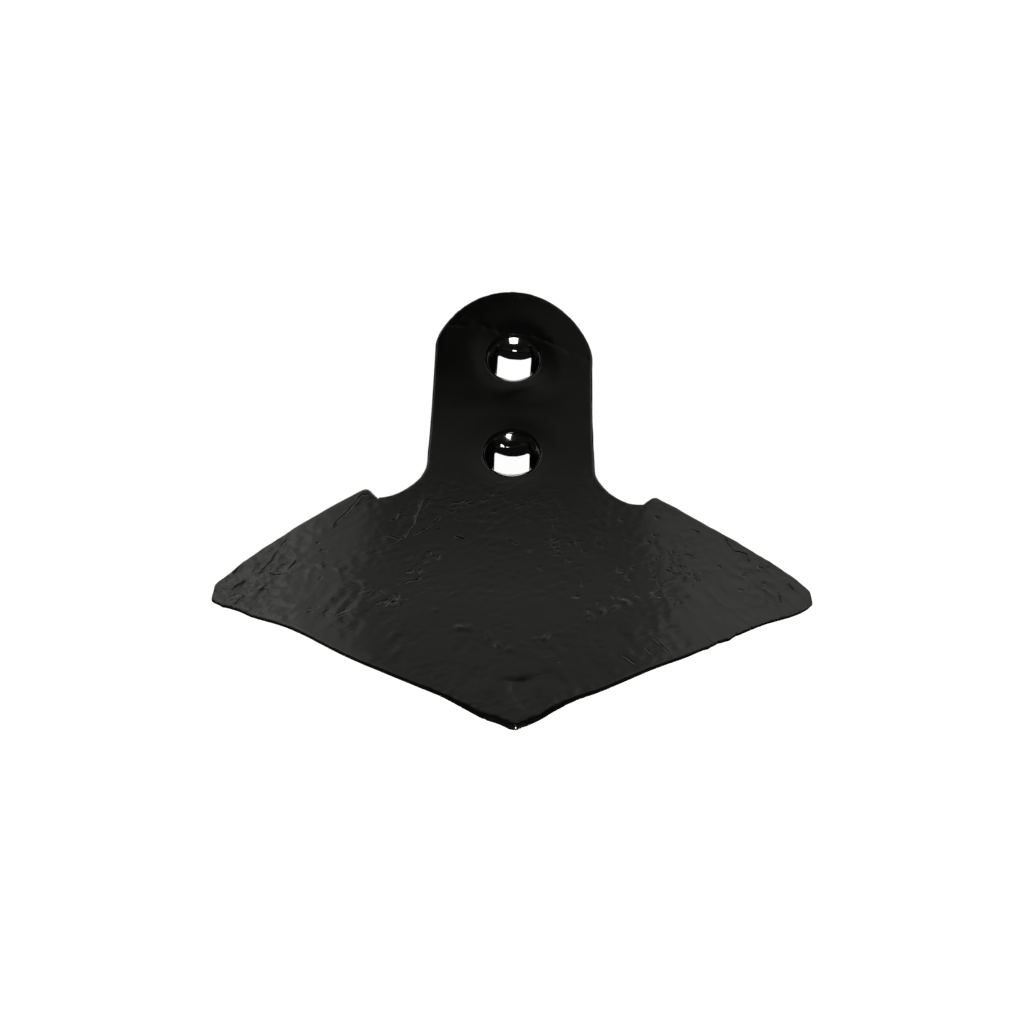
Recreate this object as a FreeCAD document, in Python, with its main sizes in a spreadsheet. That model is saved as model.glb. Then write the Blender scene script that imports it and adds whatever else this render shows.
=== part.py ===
# Duckfoot point: a one-piece forged cultivator tip
#
# A bar of steel plate is cut to a round-topped tang on a broad, swept blade, bent to a hollow
# side profile so that the tang follows a curved shank, and its wings are pressed a little back.
# Two square holes with pressed countersinks take the bolts. The back of both cutting edges is
# drawn thin from the nose to the wing tips.
#
# All geometry is built lying on the blade: X across, Y from the nose towards the tang, Z out of
# the front face. The body's Placement then turns the finished point onto its back, as it rests.
import FreeCAD, Part
import math
import os
import Sketcher

doc = FreeCAD.newDocument("duckfoot_point")

# Driving dimensions, in millimetres and degrees
sheet = doc.addObject("Spreadsheet::Sheet", "Sizes")
sizes = [
    ("plate_thickness", "6.4", "thickness of the plate before it is drawn"),
    ("flat_length", "58.5", "straight run of the centre line behind the nose"),
    ("bend_radius", "265", "radius of the hollow front face along the centre line"),
    ("tang_end_allowance", "9", "plate beyond the tang's round top before it is cut"),
    ("hole_station", "151.5", "from the nose to midway between the holes, along the face"),
    ("hole_spacing", "45", "between the two hole centres, along the face"),
    ("upper_hole_offset", "0.5", "how far right of the centre line the upper hole sits"),
    ("lower_hole_offset", "-0.3", "how far right of the centre line the lower hole sits"),
    ("square_hole", "14", "side of each square hole"),
    ("countersink_diameter", "21.7", "diameter of each countersink at the front face"),
    ("dimple_diameter", "24", "diameter of the swelling round each hole at the back face"),
    ("dimple_height", "4.7", "how far each swelling stands out of the back face"),
    ("countersink_angle", "80", "full angle of each countersink"),
    ("dimple_angle", "90", "full angle of each swelling's flank"),
    ("tang_width", "63.2", "diameter of the tang's round top"),
    ("tang_round_height", "21", "from midway between the holes to the centre of the top"),
    ("tang_round_offset", "-0.3", "how far right of the centre line the round top sits"),
    ("left_corner_angle", "16.5", "where the round top ends on the left"),
    ("right_corner_angle", "5.5", "where the round top ends on the right"),
    ("left_foot", "32.4", "from the centre line to the left side's foot"),
    ("right_foot", "31.1", "from the centre line to the right side's foot"),
    ("notch_radius", "17.8", "radius in the corner between tang and shoulder"),
    ("left_notch_depth", "44", "from midway between the holes down to the left notch"),
    ("right_notch_depth", "48", "from midway between the holes down to the right notch"),
    ("left_shoulder", "55", "from the centre line to the left shoulder's corner"),
    ("right_shoulder", "53.2", "from the centre line to the right shoulder's corner"),
    ("left_shoulder_drop", "39.9", "from midway between the holes down to that corner"),
    ("right_shoulder_drop", "44.3", "from midway between the holes down to that corner"),
    ("shoulder_slope", "34", "slope of the trailing edges at the shoulders"),
    ("trailing_radius", "230", "bow of the trailing edges"),
    ("left_span", "105.9", "from the centre line to the left wing tip"),
    ("right_span", "105.2", "from the centre line to the right wing tip"),
    ("left_sweep", "31.1", "how far the left cutting edge is swept back"),
    ("right_sweep", "29.5", "how far the right cutting edge is swept back"),
    ("tip_height", "7.5", "length of each wing tip's blunt end"),
    ("upper_tip_radius", "9", "rounding of each wing tip behind"),
    ("lower_tip_radius", "6", "rounding of each wing tip in front"),
    ("edge_bow_radius", "2400", "bow of the cutting edges"),
    ("nose_radius", "3", "rounding of the nose"),
    ("wing_start", "44.5", "from the centre line to where a wing begins to fall"),
    ("wing_bend_radius", "286", "radius of that fall at the front face"),
    ("wing_fall", "7", "angle by which each wing falls back"),
    ("edge_thickness", "1.8", "thickness left at the cutting edges"),
    ("drawn_width", "30", "width of the drawn-out strip behind each cutting edge"),
    ("rest_tilt", "7.6", "how far the point leans back when it lies on a floor"),
]
for row, (alias, value, meaning) in enumerate(sizes, 1):
    sheet.set("A%d" % row, alias)
    sheet.set("B%d" % row, value)
    sheet.set("C%d" % row, meaning)
    sheet.setAlias("B%d" % row, alias)
doc.recompute()

body = doc.addObject("PartDesign::Body", "duckfoot_point")
body.Label = "duckfoot_point"


def origin_plane(role):
    """The body's own origin plane with this role."""
    return [item for item in body.Origin.OriginFeatures if item.Role == role][0]


def flat_sketch(name, role):
    """An empty sketch on one of the body's origin planes."""
    sketch = body.newObject("Sketcher::SketchObject", name)
    sketch.AttachmentSupport = [(origin_plane(role), "")]
    sketch.MapMode = "FlatFace"
    return sketch


def measured(sketch, across, along):
    """The point that two expressions give now."""
    return FreeCAD.Vector(float(sketch.evalExpression(across)), float(sketch.evalExpression(along)), 0)


def hold(sketch, geometry, end, across, along):
    """Tie one end of a line or arc to two expressions, measured from the sketch's origin."""
    here = measured(sketch, across, along)
    for kind, value, text in (("DistanceX", here.x, across), ("DistanceY", here.y, along)):
        index = sketch.addConstraint(Sketcher.Constraint(kind, -1, 1, geometry, end, value))
        sketch.setExpression("Constraints[%d]" % index, text)


def closed_profile(sketch, corners):
    """Draw a closed profile through corners that are each tied to the sheet.

    A corner is two expressions. With a third and a fourth entry, the edge that leaves it is an
    arc of that radius, which bulges to the left (1) or to the right (-1) of the way it is drawn.
    """
    places = [measured(sketch, corner[0], corner[1]) for corner in corners]
    for number, corner in enumerate(corners):
        start = places[number]
        stop = places[(number + 1) % len(places)]
        if len(corner) == 2:
            edge = sketch.addGeometry(Part.LineSegment(start, stop))
        else:
            radius = float(sketch.evalExpression(corner[2]))
            chord = stop.sub(start)
            rise = radius - math.sqrt(radius ** 2 - chord.Length ** 2 / 4)
            left = FreeCAD.Vector(-chord.y, chord.x, 0).normalize()
            middle = (start + stop) * 0.5 + left * (rise * corner[3])
            edge = sketch.addGeometry(Part.Arc(start, middle, stop))
            bow = sketch.addConstraint(Sketcher.Constraint("Radius", edge, radius))
            sketch.setExpression("Constraints[%d]" % bow, corner[2])
        first = 1 if sketch.getPoint(edge, 1).sub(start).Length < 1e-6 else 2
        hold(sketch, edge, first, corner[0], corner[1])
        following = corners[(number + 1) % len(corners)]
        hold(sketch, edge, 3 - first, following[0], following[1])


def construction_line(sketch, start, stop):
    """Add a line that only serves as an axis."""
    line = sketch.addGeometry(Part.LineSegment(measured(sketch, *start), measured(sketch, *stop)), True)
    hold(sketch, line, 1, *start)
    hold(sketch, line, 2, *stop)


def fall(across):
    """Expression for how far the front face has fallen in the straight part of a wing."""
    bend = "Sizes.wing_bend_radius * (1 - cos(Sizes.wing_fall * 1deg))"
    slope = "tan(Sizes.wing_fall * 1deg)"
    return "(%s + (%s - %s) * %s)" % (bend, across, WING_BEND_END, slope)


# Where the fall of a wing ends at the front face and at the back face, from the centre line
WING_BEND_END = "(Sizes.wing_start + Sizes.wing_bend_radius * sin(Sizes.wing_fall * 1deg))"
BACK_BEND_RADIUS = "(Sizes.wing_bend_radius - Sizes.plate_thickness)"
BACK_BEND_END = "(Sizes.wing_start + %s * sin(Sizes.wing_fall * 1deg))" % BACK_BEND_RADIUS

# Half the width of the strip before it is cut, clear of both wing tips
STRIP_HALF = "(max(Sizes.left_span; Sizes.right_span) + 10)"
BACK_CORNER = "(%s - Sizes.plate_thickness * sin(Sizes.wing_fall * 1deg))" % STRIP_HALF

# Cross-section of the plate where the blade's flat run meets the bend
section = flat_sketch("CrossSection", "XZ_Plane")
section.setExpression("AttachmentOffset.Base.z", "-Sizes.flat_length")
front_bend = "-Sizes.wing_bend_radius * (1 - cos(Sizes.wing_fall * 1deg))"
back_bend = "-Sizes.plate_thickness - %s * (1 - cos(Sizes.wing_fall * 1deg))" % BACK_BEND_RADIUS
front_edge = "-%s" % fall(STRIP_HALF)
back_edge = "-%s - Sizes.plate_thickness * cos(Sizes.wing_fall * 1deg)" % fall(STRIP_HALF)
closed_profile(section, [
    ("-%s" % STRIP_HALF, front_edge),
    ("-%s" % WING_BEND_END, front_bend, "Sizes.wing_bend_radius", 1),
    ("-Sizes.wing_start", "0"),
    ("Sizes.wing_start", "0", "Sizes.wing_bend_radius", 1),
    (WING_BEND_END, front_bend),
    (STRIP_HALF, front_edge),
    (BACK_CORNER, back_edge),
    (BACK_BEND_END, back_bend, BACK_BEND_RADIUS, -1),
    ("Sizes.wing_start", "-Sizes.plate_thickness"),
    ("-Sizes.wing_start", "-Sizes.plate_thickness", BACK_BEND_RADIUS, -1),
    ("-%s" % BACK_BEND_END, back_bend),
    ("-%s" % BACK_CORNER, back_edge),
])
construction_line(section, ("-20", "Sizes.bend_radius"), ("20", "Sizes.bend_radius"))

# The blade's straight run, from the section forwards past the nose
blade = body.newObject("PartDesign::Pad", "BladeRun")
blade.Profile = section
blade.setExpression("Length", "Sizes.flat_length + 5")
doc.recompute()

# The bend: the same section turned about the bend's axis as far as the end of the tang
TANG_TOP = "(Sizes.hole_station + Sizes.tang_round_height + Sizes.tang_width / 2)"
bend = body.newObject("PartDesign::Revolution", "TangBend")
bend.Profile = section
bend.ReferenceAxis = (section, ["Axis0"])
bend.setExpression(
    "Angle",
    "(%s + Sizes.tang_end_allowance - Sizes.flat_length) / Sizes.bend_radius * 1rad" % TANG_TOP,
)
doc.recompute()


def turn_at(station):
    """Expression for the angle through which the plate has bent at a distance from the nose."""
    return "((%s - Sizes.flat_length) / Sizes.bend_radius * 1rad)" % station


def forward(station):
    """Expression for how far behind the nose such a place lies, measured along Y."""
    return "(Sizes.flat_length + Sizes.bend_radius * sin(%s))" % turn_at(station)


MIDDLE = turn_at("Sizes.hole_station")


def wing_corners(side):
    """The corners of one wing's outline, from the shoulder to the nose."""
    sign = "-" if side == "left" else ""
    span = "Sizes.%s_span" % side
    station = "(Sizes.hole_station - Sizes.%s_shoulder_drop)" % side
    shoulder = "Sizes.%s_shoulder" % side
    tip = "%s * tan(Sizes.%s_sweep * 1deg)" % (span, side)
    inner = "%s + 10 * tan(Sizes.shoulder_slope * 1deg)" % forward(station)
    bulge = -1 if side == "left" else 1
    return [
        (sign + "(%s - 10)" % shoulder, inner),
        (sign + shoulder, forward(station)),
        (sign + span, tip + " + Sizes.tip_height"),
        (sign + span, tip),
    ], bulge


# Outline of the blade seen square on: everything outside it is cut away
outline = flat_sketch("BladeOutline", "XY_Plane")
left_wing, left_bulge = wing_corners("left")
right_wing, right_bulge = wing_corners("right")
beyond = "(%s + 10)" % STRIP_HALF
behind = "(Sizes.hole_station + Sizes.tang_width)"
left_path = list(left_wing)
left_path[1] = left_wing[1] + ("Sizes.trailing_radius", left_bulge)
left_path[3] = left_wing[3] + ("Sizes.edge_bow_radius", left_bulge)
right_path = list(reversed(right_wing))
right_path[1] = right_path[1] + ("Sizes.trailing_radius", -right_bulge)
nose = ("0", "0", "Sizes.edge_bow_radius", -right_bulge)
inside_left = left_wing[0][0]
inside_right = right_wing[0][0]
closed_profile(outline, left_path + [nose] + right_path + [
    (inside_right, behind),
    (beyond, behind),
    (beyond, "-15"),
    ("-" + beyond, "-15"),
    ("-" + beyond, behind),
    (inside_left, behind),
])
trim = body.newObject("PartDesign::Pocket", "BladeTrim")
trim.Profile = outline
trim.SideType = "Symmetric"
trim.Length = 160
doc.recompute()

# Outline of the tang, on the plane that touches the front face midway between the holes
tang = flat_sketch("TangOutline", "XY_Plane")
about_x = FreeCAD.Rotation(FreeCAD.Vector(1, 0, 0), 1)
tang.AttachmentOffset = FreeCAD.Placement(FreeCAD.Vector(0, 0, 0), about_x)
tang.setExpression("AttachmentOffset.Base.y", forward("Sizes.hole_station"))
tang.setExpression("AttachmentOffset.Base.z", "Sizes.bend_radius * (1 - cos(%s))" % MIDDLE)
tang.setExpression("AttachmentOffset.Rotation.Angle", MIDDLE)


def tang_corners(side):
    """The corners of one side of the tang, from the round top down to past the shoulder."""
    sign = "-" if side == "left" else ""
    foot = "Sizes.%s_foot" % side
    depth = "Sizes.%s_notch_depth" % side
    turn = "Sizes.%s_corner_angle * 1deg" % side
    bottom = "(%s + Sizes.notch_radius)" % foot
    height = "(-Sizes.bend_radius * sin(Sizes.%s_shoulder_drop / Sizes.bend_radius * 1rad))" % side
    past = "(Sizes.%s_shoulder + (Sizes.%s_shoulder - %s))" % (side, side, bottom)
    return [
        ("Sizes.tang_round_offset %s Sizes.tang_width / 2 * cos(%s)" % (sign or "+", turn),
         "Sizes.tang_round_height + Sizes.tang_width / 2 * sin(%s)" % turn),
        (sign + foot, "Sizes.notch_radius - %s" % depth),
        (sign + bottom, "-%s" % depth),
        (sign + past, "%s * 2 + %s" % (height, depth)),
    ]


left_side = tang_corners("left")
right_side = tang_corners("right")
top = "(Sizes.tang_round_height + Sizes.tang_width)"
right_run = [
    right_side[0],
    right_side[1] + ("Sizes.notch_radius", -1),
    right_side[2],
    right_side[3],
]
left_run = [
    left_side[3],
    left_side[2] + ("Sizes.notch_radius", -1),
    left_side[1],
    left_side[0] + ("Sizes.tang_width / 2", 1),
]
closed_profile(tang, left_run + right_run + [
    (beyond, right_side[3][1]),
    (beyond, top),
    ("-" + beyond, top),
    ("-" + beyond, left_side[3][1]),
])
tang_trim = body.newObject("PartDesign::Pocket", "TangTrim")
tang_trim.Profile = tang
tang_trim.SideType = "Symmetric"
tang_trim.Length = 70
doc.recompute()


def value(alias):
    """A driving dimension as a number."""
    return float(sheet.get(alias))


def upright_edges(feature, place, reach):
    """Names of the edges that run through the plate near a place seen square on."""
    found = []
    for number, edge in enumerate(feature.Shape.Edges, 1):
        ends = [vertex.Point for vertex in edge.Vertexes]
        if len(ends) < 2 or abs(ends[0].z - ends[1].z) < 1:
            continue
        if all(math.hypot(end.x - place[0], end.y - place[1]) < reach for end in ends):
            found.append("Edge%d" % number)
    return found


# Rounded corners of the outline: the wing tips in front and behind, and the nose
corners = []
for sign, side in ((-1, "left"), (1, "right")):
    span = value(side + "_span")
    low = span * math.tan(math.radians(value(side + "_sweep")))
    corners.append(("TipBehind" + side.title(), (sign * span, low + value("tip_height")), "upper_tip_radius"))
    corners.append(("TipFront" + side.title(), (sign * span, low), "lower_tip_radius"))
corners.append(("Nose", (0, 0), "nose_radius"))
for name, place, radius in corners:
    rounded = body.Tip
    edges = upright_edges(rounded, place, 1.0)
    print(name, edges)
    rounding = body.newObject("PartDesign::Fillet", name)
    rounding.Base = (rounded, edges)
    rounding.setExpression("Radius", "Sizes." + radius)
    doc.recompute()

# The drawn-out strips: the back is cut away in a slope that ends at the cutting edge. The slope
# follows the wing's fall, so its profile is the back's own, tipped, and runs back at an incline.
SLOPE = "((Sizes.plate_thickness - Sizes.edge_thickness) / Sizes.drawn_width)"
for side, sign, bulge in (("left", "-", 1), ("right", "", -1)):
    sweep = "Sizes.%s_sweep * 1deg" % side
    tip_up = "%s * sin(%s)" % (SLOPE, sweep)
    drawn = flat_sketch("Drawn" + side.title(), "XZ_Plane")
    outer_drop = fall(STRIP_HALF)
    other = "" if side == "left" else "-"
    closed_profile(drawn, [
        (other + "40", "-Sizes.edge_thickness - 40 * %s" % tip_up),
        (sign + "Sizes.wing_start", "-Sizes.edge_thickness + Sizes.wing_start * %s" % tip_up,
         "Sizes.wing_bend_radius", -bulge),
        (sign + WING_BEND_END, "-Sizes.edge_thickness %s + %s * %s" % (front_bend, WING_BEND_END, tip_up)),
        (sign + STRIP_HALF, "-Sizes.edge_thickness - %s + %s * %s" % (outer_drop, STRIP_HALF, tip_up)),
        (sign + STRIP_HALF, "-60"),
        (other + "40", "-60"),
    ])
    before = body.Shape.Volume
    taper = body.newObject("PartDesign::Pocket", "Draw" + side.title())
    taper.Profile = drawn
    taper.UseCustomVector = True
    taper.Direction = FreeCAD.Vector(0, 1, 0)
    taper.setExpression("Direction.z", "-%s * cos(%s)" % (SLOPE, sweep))
    taper.AlongSketchNormal = False
    taper.setExpression("Length", behind)
    doc.recompute()
    print(taper.Name, "removes", round(before - taper.Shape.Volume, 1), "mm3")

# Swellings, square holes and countersinks, each about a line through the bend's axis
for name, sign in (("Upper", "+"), ("Lower", "-")):
    angle = turn_at("(Sizes.hole_station %s Sizes.hole_spacing / 2)" % sign)
    aside = "Sizes.%s_hole_offset" % name.lower()

    def across_plate(radius, offset, angle=angle):
        """A point at a distance from the bend's axis and beside the hole's axis, seen from +X."""
        along = "Sizes.flat_length + (%s) * sin(%s) + (%s) * cos(%s)" % (radius, angle, offset, angle)
        height = "Sizes.bend_radius - (%s) * cos(%s) + (%s) * sin(%s)" % (radius, angle, offset, angle)
        return along, height

    front = "Sizes.bend_radius"
    back = "(Sizes.bend_radius + Sizes.plate_thickness)"
    flank = "tan(Sizes.dimple_angle / 2 * 1deg)"
    sunk = "tan(Sizes.countersink_angle / 2 * 1deg)"
    seat = "(Sizes.plate_thickness / 2)"
    swell = flat_sketch("Swelling" + name, "YZ_Plane")
    swell.setExpression("AttachmentOffset.Base.z", aside)
    crest = "%s + Sizes.dimple_height" % back
    closed_profile(swell, [
        across_plate("%s - %s" % (back, seat), "0"),
        across_plate("%s - %s" % (back, seat), "Sizes.dimple_diameter / 2 + %s * %s" % (seat, flank)),
        across_plate(crest, "Sizes.dimple_diameter / 2 - Sizes.dimple_height * %s" % flank),
        across_plate(crest, "0"),
    ])
    construction_line(swell, across_plate(front, "0"), across_plate(back, "0"))
    dimple = body.newObject("PartDesign::Revolution", "Dimple" + name)
    dimple.Profile = swell
    dimple.ReferenceAxis = (swell, ["Axis0"])
    dimple.Angle = 360
    doc.recompute()

    square = flat_sketch("Square" + name, "YZ_Plane")
    square.setExpression("AttachmentOffset.Base.z", aside)
    closed_profile(square, [
        across_plate(front + " - 10", "-Sizes.square_hole / 2"),
        across_plate(front + " - 10", "Sizes.square_hole / 2"),
        across_plate(back + " + Sizes.dimple_diameter", "Sizes.square_hole / 2"),
        across_plate(back + " + Sizes.dimple_diameter", "-Sizes.square_hole / 2"),
    ])
    before = body.Shape.Volume
    punch = body.newObject("PartDesign::Pocket", "Punch" + name)
    punch.Profile = square
    punch.SideType = "Symmetric"
    punch.setExpression("Length", "Sizes.square_hole")
    doc.recompute()
    print(punch.Name, "removes", round(before - punch.Shape.Volume, 1), "mm3")

    cone = flat_sketch("Cone" + name, "YZ_Plane")
    cone.setExpression("AttachmentOffset.Base.z", aside)
    closed_profile(cone, [
        across_plate(front + " - 8", "0"),
        across_plate(front + " + Sizes.countersink_diameter / 2 / %s" % sunk, "0"),
        across_plate(front + " - 8", "Sizes.countersink_diameter / 2 + 8 * %s" % sunk),
    ])
    construction_line(cone, across_plate(front, "0"), across_plate(back, "0"))
    before = body.Shape.Volume
    sink = body.newObject("PartDesign::Groove", "Countersink" + name)
    sink.Profile = cone
    sink.ReferenceAxis = (cone, ["Axis0"])
    sink.Angle = 360
    doc.recompute()
    print(sink.Name, "removes", round(before - sink.Shape.Volume, 1), "mm3")


# The finished point lies on its back, with its origin midway between the holes at the back face
BACK = "(Sizes.bend_radius + Sizes.plate_thickness)"
seat_y = "(Sizes.flat_length + %s * sin(%s))" % (BACK, MIDDLE)
seat_z = "(Sizes.bend_radius - %s * cos(%s))" % (BACK, MIDDLE)
lean = "Sizes.rest_tilt * 1deg"
body.Placement = FreeCAD.Placement(
    FreeCAD.Vector(0, 0, 0),
    FreeCAD.Rotation(FreeCAD.Vector(1, 0, 0), -value("rest_tilt")),
)
body.setExpression("Placement.Base.y", "-(%s * cos(%s) + %s * sin(%s))" % (seat_y, lean, seat_z, lean))
body.setExpression("Placement.Base.z", "%s * sin(%s) - %s * cos(%s)" % (seat_y, lean, seat_z, lean))
doc.recompute()

# Nothing is written unless every object is sound
for item in doc.Objects:
    for word in ("Invalid", "Error"):
        if word in item.State:
            raise RuntimeError("%s is %s" % (item.Name, item.State))
shape = body.Shape
if shape.isNull() or not shape.isValid() or len(shape.Solids) != 1:
    raise RuntimeError("the point is not one sound solid")
os.makedirs("parts", exist_ok=True)
shape.exportStep("parts/duckfoot_point.step")
box = shape.BoundBox
print("size", round(box.XLength, 2), round(box.YLength, 2), round(box.ZLength, 2))
print("corner", round(box.XMin, 2), round(box.YMin, 2), round(box.ZMin, 2))
print("volume", round(shape.Volume, 1), "faces", len(shape.Faces))
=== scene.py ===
# %% [markdown]
# # A duckfoot point in black enamel
#
# The real piece is one forging: a steel plate with a round-topped tang, two countersunk square
# holes and a broad swept blade that cuts under the soil. It is forged hot, so its skin carries
# hammer waves, scale pits and shallow cracks, and it is then dipped in black enamel.
#
# The solid model has the true sizes, and Blender only dresses it. This first step loads it and
# keeps the size of its box, so that the dressed piece can be held inside it.

import math

import bmesh
import bpy
import numpy as np
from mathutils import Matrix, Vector, kdtree, noise


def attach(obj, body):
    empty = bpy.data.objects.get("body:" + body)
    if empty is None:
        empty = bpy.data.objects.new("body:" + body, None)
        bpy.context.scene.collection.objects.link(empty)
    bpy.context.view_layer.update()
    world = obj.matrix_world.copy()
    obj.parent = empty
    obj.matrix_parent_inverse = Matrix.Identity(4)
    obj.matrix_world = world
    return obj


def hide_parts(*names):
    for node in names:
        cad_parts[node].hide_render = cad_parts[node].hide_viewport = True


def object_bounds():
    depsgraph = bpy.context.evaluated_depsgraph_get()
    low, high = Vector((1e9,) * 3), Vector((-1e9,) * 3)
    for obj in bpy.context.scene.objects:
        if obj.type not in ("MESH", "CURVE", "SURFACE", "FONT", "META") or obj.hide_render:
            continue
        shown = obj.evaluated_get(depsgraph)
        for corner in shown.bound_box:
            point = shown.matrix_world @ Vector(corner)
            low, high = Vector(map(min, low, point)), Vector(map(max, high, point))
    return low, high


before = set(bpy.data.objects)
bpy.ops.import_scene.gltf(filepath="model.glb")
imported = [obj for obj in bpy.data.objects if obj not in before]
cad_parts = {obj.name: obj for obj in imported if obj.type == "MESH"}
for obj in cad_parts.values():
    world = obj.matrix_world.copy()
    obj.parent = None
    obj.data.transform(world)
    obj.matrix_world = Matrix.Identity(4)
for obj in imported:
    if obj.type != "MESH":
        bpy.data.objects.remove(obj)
cad_low, cad_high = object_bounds()
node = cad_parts["duckfoot_point"]
MM = 0.001
print("box of the solid model, mm:", [round(v / MM, 1) for v in (cad_high - cad_low)])

# %% [markdown]
# ## The camera
#
# The photograph looks down on the point as it lies on its back. The two bolt holes and the
# outline give the lens and the place: about half a metre away, 47.6 degrees down, level, with
# the nose nearest. The shift of half a pixel only centres the picture on a pixel's middle.

# %% Place the camera
LOOK_UP_FROM_BELOW = math.radians(42.41)
PIXELS = 1024
FOCAL_PIXELS = 1275.0

lens = bpy.data.cameras.new("portrait_lens")
lens.sensor_width = 36.0
lens.lens = FOCAL_PIXELS / PIXELS * lens.sensor_width
lens.clip_start = 0.01
lens.clip_end = 20.0
camera = bpy.data.objects.new("portrait_camera", lens)
camera.location = (0.0, -0.3695, 0.3472)
lens.shift_x = -0.5 / PIXELS
lens.shift_y = 0.5 / PIXELS
camera.rotation_euler = (LOOK_UP_FROM_BELOW, 0.0, 0.0)
bpy.context.scene.collection.objects.link(camera)
bpy.context.scene.camera = camera
print("lens", round(lens.lens, 2), "mm")

# %% [markdown]
# ## From the bent plate to its flat blank and back
#
# A smith works the blank while it is flat, and the press bends it last. The same order is
# easiest here: every mark is a plain height over a flat sheet, measured across it and from the
# nose. Two functions do the press's work, one back to the blank and one forward again. The sizes
# are those of the solid model, in millimetres.

# %% Bend and unbend
FLAT_RUN = 58.5
BEND_RADIUS = 265.0
PLATE = 6.4
WING_START = 44.5
WING_BEND = 286.0
WING_FALL = math.radians(7.0)
LEAN = math.radians(7.6)
HOLE_STATION = 151.5
HOLE_SPACING = 45.0

seat_turn = (HOLE_STATION - FLAT_RUN) / BEND_RADIUS
SEAT_ALONG = FLAT_RUN + (BEND_RADIUS + PLATE) * math.sin(seat_turn)
SEAT_UP = BEND_RADIUS - (BEND_RADIUS + PLATE) * math.cos(seat_turn)


def laid_flat(points):
    """Points of the bent plate, in metres, as across, from the nose and over the front, in mm."""
    x, y, z = points.T / MM
    along = y * math.cos(LEAN) - z * math.sin(LEAN) + SEAT_ALONG
    up = y * math.sin(LEAN) + z * math.cos(LEAN) + SEAT_UP
    bent = along > FLAT_RUN
    reach = np.hypot(along - FLAT_RUN, BEND_RADIUS - up)
    turned = np.arctan2(along - FLAT_RUN, BEND_RADIUS - up)
    station = np.where(bent, FLAT_RUN + BEND_RADIUS * turned, along)
    height = np.where(bent, BEND_RADIUS - reach, up)
    over = np.abs(x) - WING_START
    deep = WING_BEND + height
    angle = np.clip(np.arctan2(over, deep), 0, WING_FALL)
    beyond = over * np.cos(angle) - deep * np.sin(angle)
    level = over * np.sin(angle) + deep * np.cos(angle) - WING_BEND
    across = np.where(over > 0, WING_START + WING_BEND * angle + beyond, np.abs(x))
    return np.stack([np.copysign(across, x), station, np.where(over > 0, level, height)], 1)


def pressed(blank):
    """The way back: from the flat blank, in mm, to the bent plate, in metres."""
    across, station, height = blank.T
    over = np.abs(across) - WING_START
    angle = np.clip(over / WING_BEND, 0, WING_FALL)
    beyond = np.maximum(over - WING_BEND * WING_FALL, 0)
    deep = WING_BEND + height
    wing_x = WING_START + deep * np.sin(angle) + beyond * np.cos(angle)
    wing_level = deep * np.cos(angle) - beyond * np.sin(angle) - WING_BEND
    x = np.where(over > 0, wing_x, np.abs(across))
    level = np.where(over > 0, wing_level, height)
    turned = np.maximum(station - FLAT_RUN, 0) / BEND_RADIUS
    bent = station > FLAT_RUN
    along = np.where(bent, FLAT_RUN + (BEND_RADIUS - level) * np.sin(turned), station)
    up = np.where(bent, BEND_RADIUS - (BEND_RADIUS - level) * np.cos(turned), level)
    y = (along - SEAT_ALONG) * math.cos(LEAN) + (up - SEAT_UP) * math.sin(LEAN)
    z = (up - SEAT_UP) * math.cos(LEAN) - (along - SEAT_ALONG) * math.sin(LEAN)
    return np.stack([np.copysign(x, across), y, z], 1) * MM


def corners_of(mesh):
    """The places of a mesh's vertices, one row each."""
    found = np.zeros(len(mesh.vertices) * 3)
    mesh.vertices.foreach_get("co", found)
    return found.reshape(-1, 3)


def move_to(mesh, places):
    """Put a mesh's vertices at these places."""
    mesh.vertices.foreach_set("co", places.astype(np.float32).ravel())
    mesh.update()


there = corners_of(node.data)
error = np.abs(pressed(laid_flat(there)) - there).max()
print("flattening and pressing again moves no corner by more than", round(error / MM, 5), "mm")

# %% [markdown]
# ## The blank
#
# A copy of the solid model's mesh is merged, laid flat and given an even skin of small faces
# with a voxel remesh. Hammer waves and pits need faces as small as themselves, and the solid
# model's long triangles have none. A little smoothing then rounds every sharp arris, as scale
# and enamel do on the real one. The skin is finer than the finished piece may be, so at the end
# a decimation takes the faces out again where the sheet is smooth.

# %% Where the marks are
# every crack is a line of points across and from the nose; pits also have a radius, beds two
cracks = [
    [(-55.2, 108.0), (-61.9, 99.0), (-63.3, 97.6), (-65.6, 94.7)],
    [(-80.8, 90.8), (-84.4, 83.9), (-86.7, 79.3), (-89.1, 75.2)],
    [(-77.7, 77.8), (-79.8, 74.3)],
    [(-95.4, 62.2), (-96.4, 60.1)],
    [(-33.5, 105.9), (-34.4, 102.0), (-35.6, 97.6), (-35.9, 94.7), (-37.6, 92.2),
     (-39.1, 87.8), (-41.2, 86.8), (-44.6, 88.3)],
    [(-35.2, 89.3), (-31.0, 92.7), (-26.8, 97.1)],
    [(-40.6, 100.0), (-42.4, 99.5), (-42.6, 97.1), (-44.4, 96.1)],
    [(-33.0, 67.0), (-35.7, 66.5), (-38.1, 65.0)],
    [(-40.5, 59.1), (-43.6, 54.1)],
    [(-20.3, 88.3), (-17.4, 86.8)],
    [(-1.4, 86.8), (1.4, 84.3)],
    [(77.2, 88.5), (78.3, 85.2), (79.5, 82.9), (84.1, 81.4), (84.7, 78.1)],
    [(65.0, 92.4), (68.2, 91.1)],
    [(46.8, 39.3), (51.5, 32.9)],
    [(43.7, 34.7), (45.8, 31.9)],
    [(36.2, 31.0), (40.5, 27.0)],
    [(64.9, 39.1), (67.4, 37.4)],
    [(97.2, 68.8), (98.9, 66.1)],
    [(93.6, 64.5), (94.2, 59.6)],
    [(-89.5, 75.7), (-87.4, 73.5), (-85.4, 72.3), (-82.8, 72.2), (-80.6, 72.2)],
]
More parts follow.
